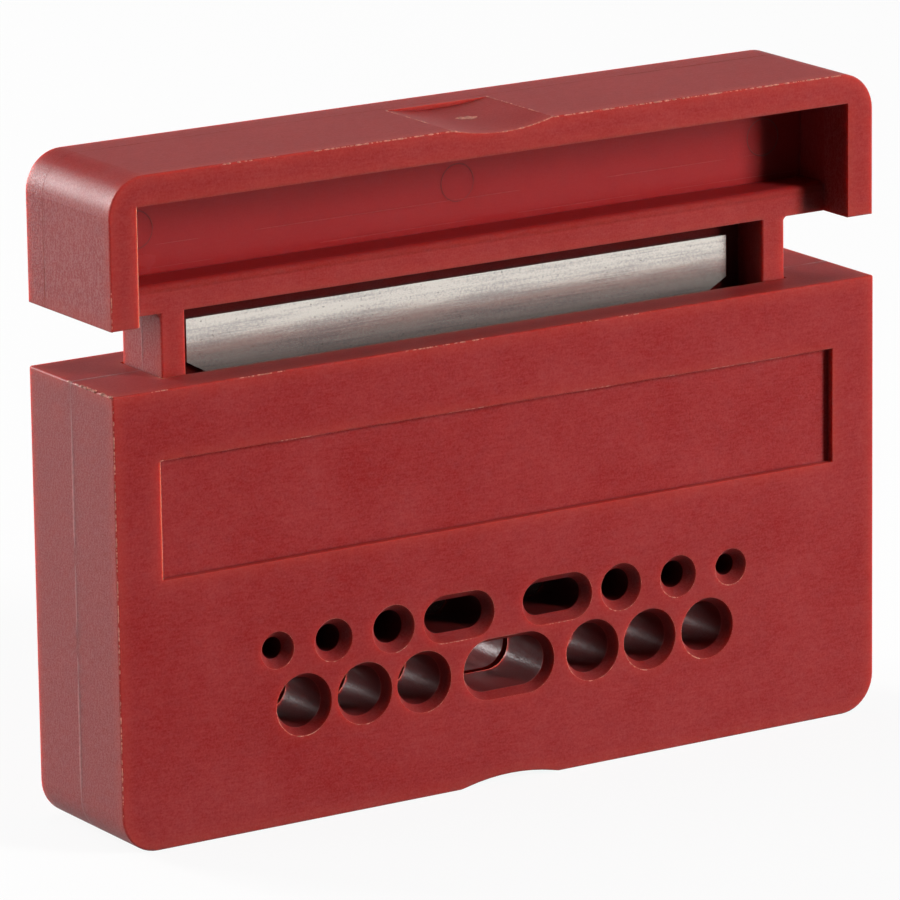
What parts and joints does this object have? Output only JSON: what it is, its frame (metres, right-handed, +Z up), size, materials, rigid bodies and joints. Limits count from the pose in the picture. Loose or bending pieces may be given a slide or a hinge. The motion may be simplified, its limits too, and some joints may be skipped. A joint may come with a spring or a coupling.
{
  "type": "plastic optical fibre cutter",
  "caption": "Hand guillotine for plastic optical fibre: a moulded block with rows of fibre holes and a push-down plunger carrying a flat steel blade.",
  "frame": {"origin": "centre of the block's foot, on the surface it stands on", "axes": "+X along the block's width, to the right seen from the front; the front face, with the bare panel, looks towards -Y; +Z up, the way the plunger is raised"},
  "size_m": [0.04, 0.0072, 0.0301],
  "materials": {
    "block_plastic": "semi-gloss moulded oxide red plastic, finely grained",
    "plunger_plastic": "semi-gloss moulded oxide red plastic, finely grained",
    "blade_steel": "rolled blade steel, lightly brushed along its length"
  },
  "bodies": {
    "block": {"front_shell": "block_plastic", "rear_shell": "block_plastic"},
    "plunger_unit": {"plunger": "plunger_plastic", "blade": "blade_steel"}
  },
  "joints": [
    {"name": "plunger_slide", "type": "slide", "parent": "block", "child": "plunger_unit", "axis": [0, 0, 1], "range_m": [-0.0028, 0.0024]}
  ]
}
